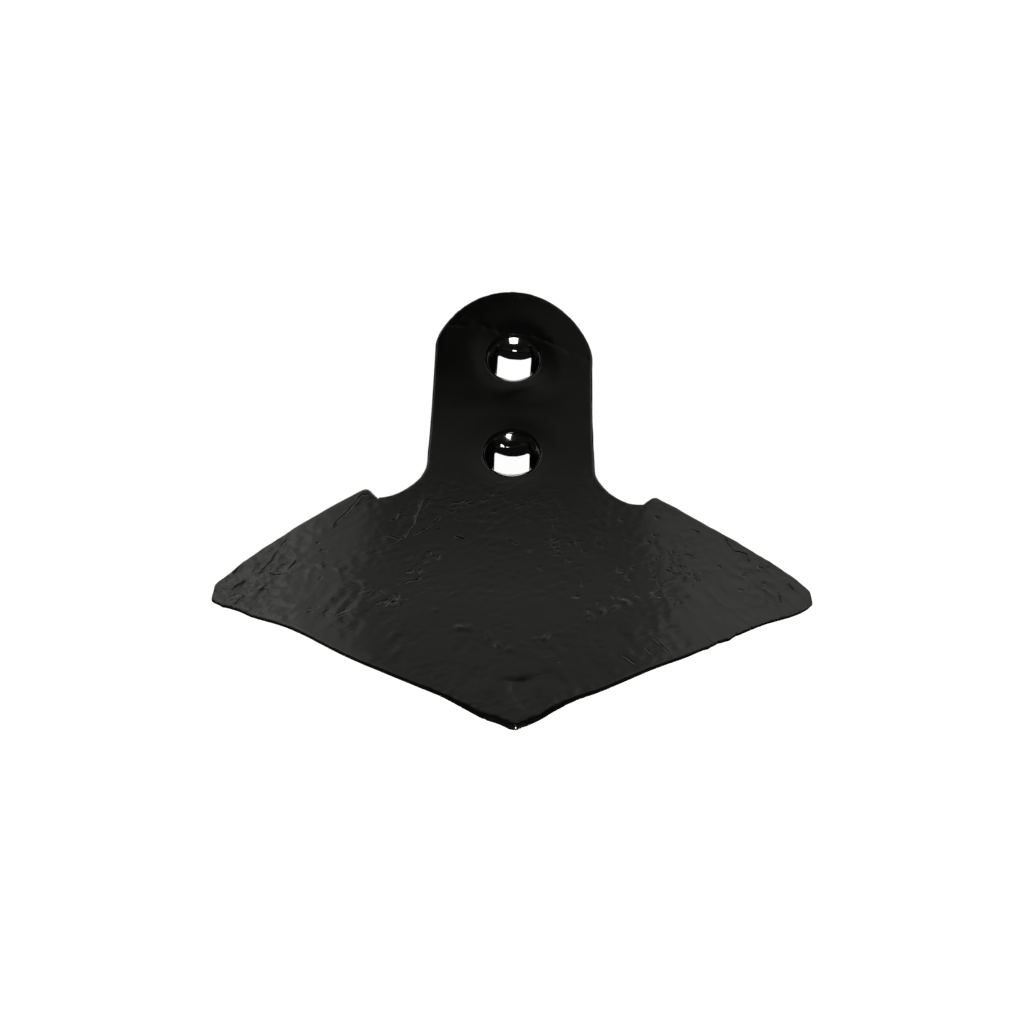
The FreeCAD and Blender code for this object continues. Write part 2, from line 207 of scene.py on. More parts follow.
pits = [
    (63.3, 79.0, 1.3), (59.9, 73.4, 1.3), (57.1, 69.8, 1.0), (54.1, 71.6, 0.9), (51.4, 77.5, 1.0),
    (56.7, 80.6, 1.0), (49.1, 67.6, 0.9), (61.7, 70.0, 1.0), (64.7, 67.7, 0.9), (51.6, 63.6, 0.8),
    (50.2, 59.6, 1.0), (37.3, 57.6, 1.2), (34.9, 58.6, 0.9), (29.6, 55.6, 0.9), (22.1, 58.6, 1.2),
    (24.4, 64.5, 0.8), (38.1, 71.5, 1.3), (40.7, 67.5, 0.9), (42.8, 72.5, 0.8), (20.9, 84.8, 1.0),
    (23.5, 85.3, 1.2), (15.8, 81.9, 0.9), (5.7, 81.4, 0.9), (9.9, 72.5, 1.1), (19.9, 76.4, 1.0),
    (26.5, 48.3, 0.9), (25.3, 51.7, 0.8), (73.4, 74.9, 0.9), (88.0, 75.5, 0.9), (82.8, 72.0, 0.9),
    (79.9, 64.3, 0.9), (88.2, 66.8, 0.9), (51.9, 88.9, 1.1), (49.1, 85.4, 0.8), (52.9, 97.7, 0.8),
    (40.3, 96.1, 0.9), (5.9, 97.1, 1.1), (-30.1, 79.9, 1.1), (-27.1, 78.4, 1.2),
    (-31.0, 76.4, 1.0), (-34.0, 73.5, 1.1), (-36.0, 71.0, 1.2), (-32.5, 71.0, 1.0),
    (-33.0, 67.5, 0.9), (-67.6, 68.5, 0.8), (-70.2, 85.9, 0.8), (-68.4, 82.3, 0.8),
    (-11.7, 96.6, 1.0),
    (-87.1, 82.3, 1.1),
]
beds = [
    (-62, 56, 14, 7), (-45, 57, 9, 5), (-14, 104, 16, 7), (12, 100, 8, 7), (-92, 66, 12, 10), (58, 73, 10, 8),
    (-33, 73, 6, 7), (20, 84, 14, 6), (48, 60, 12, 5),
]

# %% Lay a copy flat and give it an even skin
SKIN_FACE = 0.40
ARRIS_ROUNDS = 6

blank = bmesh.new()
blank.from_mesh(node.data)
bmesh.ops.remove_doubles(blank, verts=blank.verts, dist=1e-6)
merged = bpy.data.meshes.new("merged_blank")
blank.to_mesh(merged)
blank.free()
move_to(merged, laid_flat(corners_of(merged)))
rough = bpy.data.objects.new("rough_blank", merged)
bpy.context.scene.collection.objects.link(rough)
even = rough.modifiers.new("even_skin", "REMESH")
even.mode = "VOXEL"
even.voxel_size = SKIN_FACE
graph = bpy.context.evaluated_depsgraph_get()
skin = bpy.data.meshes.new_from_object(rough.evaluated_get(graph))
skin.name = "forged_skin"
bpy.data.objects.remove(rough)

work = bmesh.new()
work.from_mesh(skin)
for _ in range(ARRIS_ROUNDS):
    bmesh.ops.smooth_vert(
        work, verts=work.verts, factor=0.5, use_axis_x=True, use_axis_y=True, use_axis_z=True
    )
# faces near a mark are cut into smaller ones, and those by a crack or a pit once more
crack_dots = []
for points in cracks:
    for (ax, ay), (bx, by) in zip(points, points[1:]):
        for share in np.linspace(0, 1, 8):
            crack_dots.append((ax + share * (bx - ax), ay + share * (by - ay)))
crack_dots = np.array(crack_dots)
for once_more in (False, True):
    seats = np.array([face.calc_center_median() for face in work.faces])
    work.faces.ensure_lookup_table()
    work.normal_update()
    leans_up = np.array([face.normal.z for face in work.faces]) > 0.3
    marked = np.zeros(len(seats), bool)
    for x, y, radius in pits:
        marked |= np.hypot(seats[:, 0] - x, seats[:, 1] - y) < radius + (0.9 if once_more else 1.8)
    for x, y in crack_dots:
        marked |= np.hypot(seats[:, 0] - x, seats[:, 1] - y) < (1.3 if once_more else 2.2)
    if not once_more:
        for x, y, wide, deep in beds:
            marked |= ((seats[:, 0] - x) / wide) ** 2 + ((seats[:, 1] - y) / deep) ** 2 < 1.7
        marked |= (seats[:, 0] < -78) | (np.hypot(seats[:, 0] - 1, seats[:, 1]) < 9)
    wanted_edges = {edge for k in np.flatnonzero(marked & leans_up) for edge in work.faces[k].edges}
    bmesh.ops.subdivide_edges(work, edges=list(wanted_edges), cuts=1, use_grid_fill=True)
work.normal_update()
work.to_mesh(skin)
work.free()
print("even skin:", len(skin.vertices), "vertices,", len(skin.polygons), "faces")

# %% [markdown]
# ## Where is the front, and where are the cutting edges?
#
# Each mark sits on one side of the plate, so every vertex gets a share of front and of back from
# the way it faces. The cutting edges run from the nose to the wing tips. Their distance, and how
# far along them a vertex lies, place the hammer's work.

# %% Sort the vertices
SWEEP = {-1: math.radians(31.1), 1: math.radians(29.5)}

flat = corners_of(skin)
facing = np.zeros(len(skin.vertices) * 3)
skin.vertices.foreach_get("normal", facing)
facing = facing.reshape(-1, 3)
across, station, height = flat.T.copy()


def smooth_step(low, high, values):
    """0 below low, 1 above high, and an easy rise between."""
    share = np.clip((values - low) / (high - low), 0, 1)
    return share * share * (3 - 2 * share)


front = smooth_step(0.25, 0.9, facing[:, 2])
back = smooth_step(0.25, 0.9, -facing[:, 2])
sweep = np.where(across < 0, SWEEP[-1], SWEEP[1])
from_edge = station * np.cos(sweep) - np.abs(across) * np.sin(sweep)
along_edge = station * np.sin(sweep) + np.abs(across) * np.cos(sweep)
print("front", int(front.sum()), "back", int(back.sum()), "vertices")

# %% [markdown]
# ## Let the outline wander
#
# No forged edge is straight. The photograph shows how far the real outline stands in or out of
# the solid model's: about a millimetre at most, in slow waves where the edges were drawn out.
# The list gives that in millimetres, every 5 mm round the front face from the nose to the right.
# A smooth curve is run through the solid's own outline first, which also rounds its facets.

# %% Read the solid's outline and make it smooth
RIM_STEP = 0.25
SHARP_TURN = math.radians(20)


def front_rim(mesh):
    """The front face's outline, in order from the nose to the right: across and station."""
    solid = bmesh.new()
    solid.from_mesh(mesh)
    solid.normal_update()
    beside = {}
    for edge in solid.edges:
        if len(edge.link_faces) == 2:
            low, high = sorted(face.normal.z for face in edge.link_faces)
            if high > 0.75 and low < 0.5:
                a, b = (corner.index for corner in edge.verts)
                beside.setdefault(a, []).append(b)
                beside.setdefault(b, []).append(a)
    places = np.array([corner.co[:2] for corner in solid.verts])
    solid.free()
    nose = min(beside, key=lambda k: places[k, 1])
    order = [nose, max(beside[nose], key=lambda k: places[k, 0])]
    while order[-1] != nose:
        order.append(next(k for k in beside[order[-1]] if k != order[-2]))
    found = [places[nose]]
    for k in order[1:-1]:
        if np.hypot(*(places[k] - found[-1])) > 0.05:
            found.append(places[k])
    return np.array(found)


def smooth_loop(corners):
    """A closed curve through the corners, round except at sharp turns, in even short steps."""
    before, after = np.roll(corners, 1, 0), np.roll(corners, -1, 0)
    run_in, run_out = corners - before, after - corners
    length_in, length_out = np.hypot(*run_in.T), np.hypot(*run_out.T)
    angle = np.arctan2(run_out[:, 1], run_out[:, 0]) - np.arctan2(run_in[:, 1], run_in[:, 0])
    turn = np.abs((angle + math.pi) % (2 * math.pi) - math.pi)
    pace = (after - before) / (length_in + length_out)[:, None]
    leave = np.where((turn > SHARP_TURN)[:, None], run_out / length_out[:, None], pace)
    arrive = np.where((turn > SHARP_TURN)[:, None], run_in / length_in[:, None], pace)
    rows = []
    for k in range(len(corners)):
        t = np.arange(0, 1, RIM_STEP / 2 / max(length_out[k], RIM_STEP))[:, None]
        end = (k + 1) % len(corners)
        rows.append(
            (2 * t ** 3 - 3 * t ** 2 + 1) * corners[k]
            + (t ** 3 - 2 * t ** 2 + t) * leave[k] * length_out[k]
            + (3 * t ** 2 - 2 * t ** 3) * corners[end]
            + (t ** 3 - t ** 2) * arrive[end] * length_out[k]
        )
    curve = np.concatenate(rows)
    curve = np.roll(curve, -np.argmin(curve[:, 1] + 0.02 * np.abs(curve[:, 0])), 0)
    closed = np.append(curve, curve[:1], 0)
    covered = np.append(0, np.cumsum(np.hypot(*np.diff(closed, axis=0).T)))
    at = np.arange(0, covered[-1], RIM_STEP)
    places = np.stack([np.interp(at, covered, closed[:, 0]), np.interp(at, covered, closed[:, 1])], 1)
    return at, places, covered[-1]


rim_at, rim, rim_length = smooth_loop(front_rim(merged))
ahead = np.roll(rim, -3, 0) - np.roll(rim, 3, 0)
ahead /= np.hypot(*ahead.T)[:, None]
rim_out = np.stack([ahead[:, 1], -ahead[:, 0]], 1)
print("outline:", round(rim_length, 1), "mm round")

# %% Push the edges in and out
PUSHES = [
    0.41, 0.68, 0.23, -0.80, -1.24, -1.28, -0.80, -0.59, -0.59, -0.55, -0.60, -0.38, 0.00, 0.32,
    0.20, 0.07, 0.19, -0.12, -0.47, -0.70, -0.73, -0.29, 0.15, 0.14, -0.52, 1.26, 1.13, 1.46, 1.33,
    1.33, 0.80, 0.79, 0.74, 0.33, 0.12, 0.16, 0.17, 0.70, 0.66, 1.33, 1.17, 0.75, 1.06, 1.10, 0.84,
    0.13, 0.09, 0.10, -0.06, 0.08, -0.02, 0.08, 0.22, 0.34, 0.49, 0.58, 0.83, 0.60, 0.16, -0.18,
    -0.24, -0.24, -0.18, 0.12, 0.34, 0.38, 0.51, 0.58, 0.61, 0.64, 0.46, 0.44, 0.53, 0.56, 0.20,
    0.24, 0.26, 0.15, 0.19, 0.11, 0.09, 0.13, 0.02, 0.12, 0.22, 0.04, 0.48, 0.91, 1.34, 1.10, 0.69,
    0.60, 1.30, 1.07, 0.99, 0.93, 0.83, 1.01, 1.15, 0.84, 0.94, 1.26, 0.83, 1.15, 0.57, 1.22, 1.49,
    0.84, 0.68, 0.24, 0.60, 0.10, -0.51, -0.82, -0.69, -0.52, -0.05, 0.34, 0.62, 0.66, 0.58, 0.30,
    0.09, -0.16, -0.38, -0.71, -0.81, -0.42, -0.02, 0.49, 0.01,
]
NICKS = [
    (74.0, 0.30, 1.3), (78.5, -0.30, 1.1), (83.0, 0.35, 1.2), (86.5, -0.2, 0.9), (538.0, 0.4, 1.5),
    (1.5, 0.3, 1.2),
]
NOSE_BACK = 0.65
LOST_TO_ROUNDING = 0.12

knots = np.arange(len(PUSHES)) * rim_length / len(PUSHES)
wanted = np.interp(rim_at, knots, PUSHES, period=rim_length) + LOST_TO_ROUNDING
soften = np.exp(-((np.arange(-16, 17) / 6) ** 2))
wanted = np.convolve(np.concatenate([wanted[-16:], wanted, wanted[:16]]), soften / soften.sum(), "valid")
for at, push, wide in NICKS:
    wanted += push * np.exp(-(((rim_at - at) / wide) ** 2))
# the nose stays inside the solid's box, and pointed
from_nose = np.minimum(rim_at, rim_length - rim_at)
wanted -= NOSE_BACK * np.exp(-((from_nose / 9) ** 2))

finder = kdtree.KDTree(len(rim))
for k, (x, y) in enumerate(rim):
    finder.insert((x, y, 0), k)
finder.balance()
near = np.array([finder.find((x, y, 0))[1] for x, y in flat[:, :2]])
outside = ((flat[:, :2] - rim[near]) * rim_out[near]).sum(1)
# the outermost vertex in each millimetre of rim shows where the skin's edge is now
PER_MM = round(1 / RIM_STEP)
millimetre = near // PER_MM
edge_now = np.full(millimetre.max() + 1, -0.4)
outer = (outside > -0.4) & (height > np.where(from_edge < 8, -2.0, -1.0))
np.maximum.at(edge_now, millimetre[outer], outside[outer])
edge_now = (np.roll(edge_now, 1) + 2 * edge_now + np.roll(edge_now, -1)) / 4
edge_now = np.interp(rim_at, np.arange(len(edge_now)) + 0.5, edge_now, period=rim_length)
move = (wanted - edge_now)[near] * smooth_step(-9, -2, outside)
flat[:, :2] += rim_out[near] * move[:, None]
inside = edge_now[near] - outside
print("edges moved by", round(move.min(), 2), "to", round(move.max(), 2), "mm")

# %% [markdown]
# ## Relief of the front
#
# Four kinds of mark make the front look forged. Slow waves come from the rolls and the hammer.
# The strip behind each cutting edge is drawn a little thinner, with a soft step where the
# hammering stops. Short dents across that strip are single blows. Scale that was pressed in and
# fell out leaves pits and thin cracks, at the places where the photograph shows them.

# %% Helpers for marks
def grain(size, seed, u=across, v=station):
    """Soft noise from -1 to 1 over the sheet, with features of about this size in mm."""
    return np.array([noise.noise((a, b, seed)) for a, b in zip(u / size, v / size)])


# marks follow a slightly wandering grid, so that no line is straight and no pit is round
STRAY = 0.7
stray_x = across + STRAY * (grain(3.1, 55.0) + 0.4 * grain(1.2, 56.0))
stray_y = station + STRAY * (grain(3.1, 58.0) + 0.4 * grain(1.2, 59.0))


def to_stroke(points, x=stray_x, y=stray_y):
    """Distance of every vertex from a line through these points, in mm."""
    nearest = np.full(len(x), 1e9)
    for (ax, ay), (bx, by) in zip(points, points[1:]):
        run = np.array([bx - ax, by - ay], float)
        share = np.clip(((x - ax) * run[0] + (y - ay) * run[1]) / (run @ run), 0, 1)
        away = np.hypot(x - ax - share * run[0], y - ay - share * run[1])
        nearest = np.minimum(nearest, away)
    return nearest


# %% Waves and the drawn strips
DRAWN_WIDTH = 30.0
DRAWN_DEPTH = 0.5
NOSE_WIDTH = 22.0
EDGE_THICKNESS = 1.8
MOST_DROP = 0.75
EDGE_THINNER = 0.2

slow = grain(31.0, 3.1)
quick = grain(9.0, 7.7)
mottled = (0.3 + 0.7 * smooth_step(-0.4, 0.3, grain(14.0, 16.0))) * (1 - smooth_step(112, 126, station))
relief = 0.14 * slow + 0.045 * quick + (0.006 + 0.06 * mottled) * grain(2.4, 12.3)
SLANT = math.radians(22)
with_grain = stray_x * math.cos(SLANT) + stray_y * math.sin(SLANT)
over_grain = stray_y * math.cos(SLANT) - stray_x * math.sin(SLANT)
relief += 0.055 * mottled * grain(1.0, 17.5, with_grain / 3.2, over_grain / 1.3)
at_nose = np.exp(-((across / NOSE_WIDTH) ** 2))
ramp_in = (DRAWN_WIDTH - from_edge + 2.5 * quick) / DRAWN_WIDTH
drawn = 0.5 * (ramp_in + np.sqrt(ramp_in ** 2 + 0.03))
strip_drop = DRAWN_DEPTH * (1 - 0.7 * at_nose) * np.minimum(drawn, 1.1)

# the front rolls over the cutting edge, most of all at the nose, and a little over every edge
leading = smooth_step(0.1, 0.6, -rim_out[near][:, 1])
trailing_radius = np.where(across < -50, 1.5, np.where(across > 50, 1.2, 0.9))
roll_radius = np.where(leading > 0, (0.6 + 1.5 * at_nose) * (1 + 0.45 * grain(3.6, 81.0)), trailing_radius)
into = roll_radius - np.clip(inside, 0, roll_radius)
roll = roll_radius - np.sqrt(roll_radius ** 2 - into ** 2)
most = np.where(leading > 0, MOST_DROP + 0.5 * at_nose - strip_drop, 0.6 * trailing_radius)
strip_drop += np.minimum(roll, most) * np.where(leading > 0, leading, 1 - leading)
# the left wing's trailing edge slopes off a little more
strip_drop += 0.2 * (leading == 0) * (across < -50) * (1 - smooth_step(0, 2.8, inside))
wall_top = smooth_step(-EDGE_THICKNESS, -0.35 * EDGE_THICKNESS, height)
# away from the nose the edge is drawn out thinner from the back as well
thinner = EDGE_THINNER * (1 - at_nose) * leading * (1 - smooth_step(1, 8, inside))

# a broken line of small lumps where the hammering stops
step = np.exp(-(((from_edge - DRAWN_WIDTH + 1 - 2.5 * quick) / 1.3) ** 2))
relief += 0.36 * step * np.maximum(grain(3.2, 21.0) + 0.15, 0) * (1 - smooth_step(60, 80, np.abs(across)))

# blows of the hammer: short ridges across the strip, and broader ones near the wing tips
in_strip = smooth_step(1, 4, from_edge) * (1 - smooth_step(20, DRAWN_WIDTH, from_edge))
patches = smooth_step(-0.1, 0.5, grain(22.0, 44.0))
blows = grain(1.0, 31.5, along_edge / 3.6, from_edge / 9.0)
relief += 0.24 * blows * in_strip * (0.3 + patches)
TIP_WORK = np.where(across < 0, 0.19, 0.14)
tips = smooth_step(58, 92, np.abs(across)) * (1 - smooth_step(26, 44, from_edge))
relief += 1.3 * TIP_WORK * tips * (0.4 - 2 * np.abs(grain(1.0, 34.5, along_edge / 4.2, from_edge / 6.5)))
relief += 0.22 * TIP_WORK * tips * (0.4 - 2 * np.abs(grain(1.0, 39.5, along_edge / 1.7, from_edge / 3.4)))
print("waves and strips: relief from", round(relief.min(), 2), "to", round(relief.max(), 2), "mm")

# %% Cracks and scratches
CRACK_DEPTH, CRACK_WIDTH = 0.15, 0.21
wander = grain(3.2, 57.0)
broken = np.clip(0.85 + 1.1 * wander, 0.35, 1.3)
crack_x, crack_y = across + 0.5 * (stray_x - across), station + 0.5 * (stray_y - station)
for points in cracks:
    away = to_stroke(points, crack_x, crack_y)
    relief -= CRACK_DEPTH * broken * np.exp(-((away / CRACK_WIDTH) ** 2))
    relief += 0.25 * CRACK_DEPTH * broken * np.exp(-(((away - 0.5) / 0.25) ** 2))
print(len(cracks), "cracks")

# %% Pits
PIT_DEPTH = 0.13
flakes = grain(0.95, 61.0)
for x, y, radius in pits:
    away = np.hypot(stray_x - x, (stray_y - y) * 1.25) / radius
    bottom = np.exp(-(away ** 4) / 1.5)
    relief -= PIT_DEPTH * bottom * np.clip(0.6 + 1.5 * flakes, 0, 1.2)
    relief += 0.25 * PIT_DEPTH * np.exp(-(((away - 1.5) / 0.4) ** 2)) * np.maximum(flakes, 0)
print(len(pits), "pits")

# %% Beds of small scale marks
BED_DEPTH = 0.13
crust = smooth_step(0.12, 0.45, grain(1.0, 71.0, with_grain / 2.3, over_grain / 0.95))
crust += 0.5 * smooth_step(0.2, 0.5, grain(1.0, 73.0, with_grain / 0.9, over_grain / 0.7))
in_clusters = smooth_step(-0.15, 0.35, grain(6.0, 76.0))
for x, y, wide, deep in beds:
    spread = in_clusters * np.exp(-(((across - x) / wide) ** 2) - (((station - y) / deep) ** 2))
    relief -= BED_DEPTH * crust * spread

# a smooth dent behind the nose, steep at the back, and a faint streak that runs on from it
for x, y, slope, long, back_width, depth in (
    (1.5, 19.0, 0.03, 4.2, 1.5, 0.62),
    (6.4, 21.0, 0.40, 4.0, 0.9, 0.26),
):
    along_dent = across - x
    over_dent = station - (y + slope * along_dent) + 0.5 * quick
    dent_width = np.where(over_dent > 0, back_width, 9.0)
    relief -= depth * np.exp(-((along_dent / long) ** 2) - (over_dent / dent_width) ** 2)
print("relief now from", round(relief.min(), 2), "to", round(relief.max(), 2), "mm")

# %% [markdown]
# ## The holes and the tang
#
# The countersinks were punched hot, so the plate round each one is drawn in and their mouths are
# soft, most of all on the tang's side. The square punch went through a little turned and a
# little off the middle. A faint crease crosses the tang where it was gripped.

# %% Turn the square bores
# across, station, turn in degrees, how far the bore and its upper wall are moved down, the
# depth where that starts, and the countersink's own tilt
BORES = [
    (0.5, HOLE_STATION + HOLE_SPACING / 2, -4.5, 0.6, 0.55, 2.4, 0.0),
    (-0.3, HOLE_STATION - HOLE_SPACING / 2, -1.5, -0.2, 1.1, 3.0, -0.12),
]
MOUTH = 10.85
HALF_SQUARE = 7.0
NARROWER = 0.03

moved = flat[:, :2].copy()
for x, y, turn, lower_all, lower_top, starts, _ in BORES:
    u, v = flat[:, 0] - x, flat[:, 1] - y
    square = np.maximum(np.abs(u), np.abs(v))
    deep = smooth_step(starts, 5.2, -height) * (1 - smooth_step(7.6, 12.0, square))
    angle = math.radians(turn) * deep
    turned_u = (u * np.cos(angle) - v * np.sin(angle)) * (1 - NARROWER * deep)
    turned_v = u * np.sin(angle) + v * np.cos(angle)
    turned_v -= deep * (lower_all + lower_top * smooth_step(0, HALF_SQUARE, turned_v))
    moved[:, 0] += turned_u - u
    moved[:, 1] += turned_v - v
flat[:, :2] = moved

# %% Draw in the mouths and press the crease
CONE_HALF_ANGLE = math.radians(40)
cone_turn = math.pi / 2 - CONE_HALF_ANGLE

mouth_drop = np.zeros(len(flat))
for x, y, *_, tilt in BORES:
    far = np.hypot(across - x, station - y)
    upper = smooth_step(-0.1, 0.9, (station - y) / np.maximum(far, 1e-6))
    shoulder = 1.3 + 1.2 * upper
    inward = MOUTH - far
    inset = shoulder * math.tan(cone_turn / 2)
    # the sharp rim's two slopes against one rounded shoulder of the same reach
    arc_run = np.clip(inward + inset, 0, shoulder * math.sin(cone_turn))
    rounded = shoulder - np.sqrt(shoulder ** 2 - arc_run ** 2)
    past = np.maximum(inward + inset - shoulder * math.sin(cone_turn), 0)
    rounded = rounded + past * math.tan(cone_turn)
    sharp = np.maximum(inward, 0) * math.tan(cone_turn)
    in_reach = (inward > -inset) & (inward < inset * 1.2) & (height > -4.5)
    mouth_drop += np.where(in_reach, np.maximum(rounded - sharp, 0), 0)
    in_cone = upper * smooth_step(0, 1.5, inward) * (1 - smooth_step(4.0, 5.5, -height))
    mouth_drop += tilt * (across - x) * in_cone
    dish = 0.42 * np.exp(-((np.maximum(-inward, 0) / 4.5) ** 2))
    mouth_drop += dish * smooth_step(-PLATE, 0, height) * (inward < HALF_SQUARE)
swell = np.exp(-(((across - 4.0) / 9) ** 2) - (((station - 160.5) / 5.0) ** 2))
relief += 0.7 * swell
# the crease's near side is the steep one, so that it catches the light from behind
for points in (
    [(-33.2, 187.8), (-23.1, 188.9), (-13.5, 188.6), (-8.9, 187.6), (-5.4, 186.2)],
    [(8.1, 184.5), (14.2, 181.6), (19.9, 178.2), (29.2, 172.9)],
):
    along_crease, crease_station = zip(*points)
    over = station - np.interp(across, along_crease, crease_station) + 0.3 * wander
    reach = smooth_step(along_crease[0] - 1, along_crease[0] + 1, across)
    reach *= 1 - smooth_step(along_crease[-1] - 1, along_crease[-1] + 1, across)
    crease = np.exp(-((over / np.where(over > 0, 2.2, 0.35)) ** 2))
    relief -= 0.10 * reach * crease * np.clip(0.7 + 1.5 * wander, 0, 1.4)

# %% [markdown]
# ## Press the skin into shape
#
# The relief lifts the front, a rougher one of the same kind lifts the back, and the cutting
# edges get their slight waves. Then the press bends the sheet, and the result takes the place of
# the plain solid.

# %% Bend the worked skin and let it stand for the solid
TRIANGLES = 190000

under = 0.12 * grain(24.0, 91.0) + 0.06 * grain(7.0, 95.0) + 0.02 * grain(2.4, 97.0)
relief *= 1 - 0.6 * leading * (1 - smooth_step(0, 3, inside))
flat[:, 2] += front * relief - back * under - strip_drop * wall_top - mouth_drop
flat[:, 2] -= thinner * np.minimum(height, 0)
finished = pressed(flat)
low = np.array(cad_low) + 1e-5
high = np.array(cad_high) - 1e-5
finished = np.clip(finished, low, high)
move_to(skin, finished)
fine_piece = bpy.data.objects.new("fine_piece", skin)
bpy.context.scene.collection.objects.link(fine_piece)
triangles = fine_piece.modifiers.new("triangles", "TRIANGULATE")
thin_out = fine_piece.modifiers.new("thin_out", "DECIMATE")
thin_out.ratio = TRIANGLES / (2 * len(skin.polygons))
graph = bpy.context.evaluated_depsgraph_get()
finished_mesh = bpy.data.meshes.new_from_object(fine_piece.evaluated_get(graph))
finished_mesh.name = "forged_point"
bpy.data.objects.remove(fine_piece)
finished_mesh.polygons.foreach_set("use_smooth", np.ones(len(finished_mesh.polygons), bool))
point = bpy.data.objects.new("forged_point", finished_mesh)
bpy.context.scene.collection.objects.link(point)
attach(point, "root")
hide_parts("duckfoot_point")
print("forged point:", len(finished_mesh.polygons), "faces")

# %% Which faces are sheared edges and walls in painted shade, and which are cones?
count = len(finished_mesh.polygons)
middles, normals = np.zeros(count * 3), np.zeros(count * 3)
finished_mesh.polygons.foreach_get("center", middles)
finished_mesh.polygons.foreach_get("normal", normals)
middles, normals = middles.reshape(-1, 3), normals.reshape(-1, 3)
lies = laid_flat(middles)
leans = laid_flat(middles + 0.2 * MM * normals)[:, 2] - lies[:, 2]
leans /= 0.2
side_sweep = np.where(lies[:, 0] < 0, SWEEP[-1], SWEEP[1])
cut_near = lies[:, 1] * np.cos(side_sweep) - np.abs(lies[:, 0]) * np.sin(side_sweep) < 5
nose_near = cut_near & (np.abs(lies[:, 0]) < 28)
ENAMEL, PAINTED_SHADE, CONE = 0, 1, 2
# faces that look sideways, the sheared edges and the walls, get a near-black matt enamel: painted shade, set
# by the way each face looks
kind = np.where(np.abs(leans) < np.where(nose_near, 0.8, np.where(cut_near, 0.6, 0.7)), PAINTED_SHADE, ENAMEL)
glossy_nose = (np.abs(lies[:, 0] - 1.2) < 2.6) & (lies[:, 1] < 5) & (leans > 0.35)
kind[glossy_nose] = CONE
for (x, y, *_), spots in zip(BORES, ((0.8,), (-3.9, -2.0))):
    far = np.hypot(lies[:, 0] - x, lies[:, 1] - y)
    in_cone = (far < 10.6) & (leans > 0.3) & (lies[:, 2] > -4.8)
    # round each hole the walls below the mouth are painted shade as well
    kind[(far < 13) & (lies[:, 2] < -0.5) & (lies[:, 2] > -6.3)] = PAINTED_SHADE
    kind[in_cone] = CONE
    # the foot of each cone is painted shade too, all but small glossy spots left where glints should show
    shaded_cone_foot = in_cone & (lies[:, 2] < -3.5)
    for spot in spots:
        shaded_cone_foot &= np.abs(lies[:, 0] - spot) > 0.7
    kind[shaded_cone_foot] = PAINTED_SHADE
    # the cone's sides away from its middle are painted shade too
    kind[in_cone & (lies[:, 2] < -2.4) & (np.abs(lies[:, 0] - x) > 4.2)] = PAINTED_SHADE
print("faces: enamel, edges, cones", np.bincount(kind))

# %% [markdown]
# ## Black enamel over forged steel
#
# Black baking enamel is a pigmented varnish with an index near 1.5. It is almost black by
# itself, and nearly all that the eye sees is its sheen, so the sheen carries the look. It is
# dipped, so it follows the scale below: the gloss breaks up a little where the steel is rough.
# It runs off the sheared edges and dries thin and matt there, and it pools in the countersinks,
# where it is smooth and glossy.

# %% Mix the enamel
def from_hex(text):
    """A colour written as sRGB hex, as the linear numbers that a shader wants."""
    parts = [int(text[i:i + 2], 16) / 255 for i in (1, 3, 5)]
    linear = [p / 12.92 if p <= 0.04045 else ((p + 0.055) / 1.055) ** 2.4 for p in parts]
    return (*linear, 1.0)


def add(tree, kind, settings=(), links=()):
    """Add a node, set its inputs or properties by name and link outputs into its inputs."""
    made = tree.nodes.new(kind)
    for name, value in dict(settings).items():
        if name in made.inputs:
            made.inputs[name].default_value = value
        else:
            setattr(made, name, value)
    for name, source in dict(links).items():
        tree.links.new(source, made.inputs[name])
    return made


def enamel(name, base, roughness, specular, patchiness=0.0, grit=0.0):
    """Black baking enamel. Patchiness varies the roughness, and grit lets the scale show."""
    made = bpy.data.materials.new(name)
    made.use_nodes = True
    tree = made.node_tree
    tree.nodes.clear()
    shader = add(
        tree, "ShaderNodeBsdfPrincipled",
        {"Base Color": from_hex(base), "Metallic": 0.0, "IOR": 1.5, "Roughness": roughness,
         "Specular IOR Level": specular, "Specular Tint": SHEEN_TINT},
    )
    place = add(tree, "ShaderNodeTexCoord").outputs["Object"]
    if patchiness:
        patchy = add(
            tree, "ShaderNodeTexNoise",
            {"Scale": 1 / (14 * MM), "Detail": 3.0, "Roughness": 0.5}, {"Vector": place},
        )
        gloss = add(
            tree, "ShaderNodeMapRange",
            {"From Min": 0.3, "From Max": 0.7, "To Min": roughness - patchiness,
             "To Max": roughness + patchiness},
            {"Value": patchy.outputs["Fac"]},
        )
        tree.links.new(gloss.outputs["Result"], shader.inputs["Roughness"])
    if grit:
        peel = add(
            tree, "ShaderNodeTexNoise",
            {"Scale": 1 / (1.3 * MM), "Detail": 2.0, "Roughness": 0.5}, {"Vector": place},
        )
        bump = add(
            tree, "ShaderNodeBump", {"Strength": grit, "Distance": 0.06 * MM},
            {"Height": peel.outputs["Fac"]},
        )
        tree.links.new(bump.outputs["Normal"], shader.inputs["Normal"])
    add(tree, "ShaderNodeOutputMaterial", (), {"Surface": shader.outputs["BSDF"]})
    return made


# a trace of olive, as bone black in linseed varnish has
SHEEN_TINT = (0.95, 1.0, 0.88, 1.0)
finished_mesh.materials.clear()
for made in (
    enamel("black baking enamel on forged steel", "#030303", 0.17, 0.5, 0.02, 0.12),
    # the second enamel is painted shade: near black and hardly reflecting, it keeps edges and walls dark
    enamel("near-black matt enamel as painted shade on edges and walls", "#020202", 0.5, 0.01),
    enamel("pooled glossy enamel in the countersinks", "#020202", 0.10, 0.5),
):
    finished_mesh.materials.append(made)
finished_mesh.polygons.foreach_set("material_index", kind.astype(np.int32))
print("enamels mixed:", [m.name for m in finished_mesh.materials])

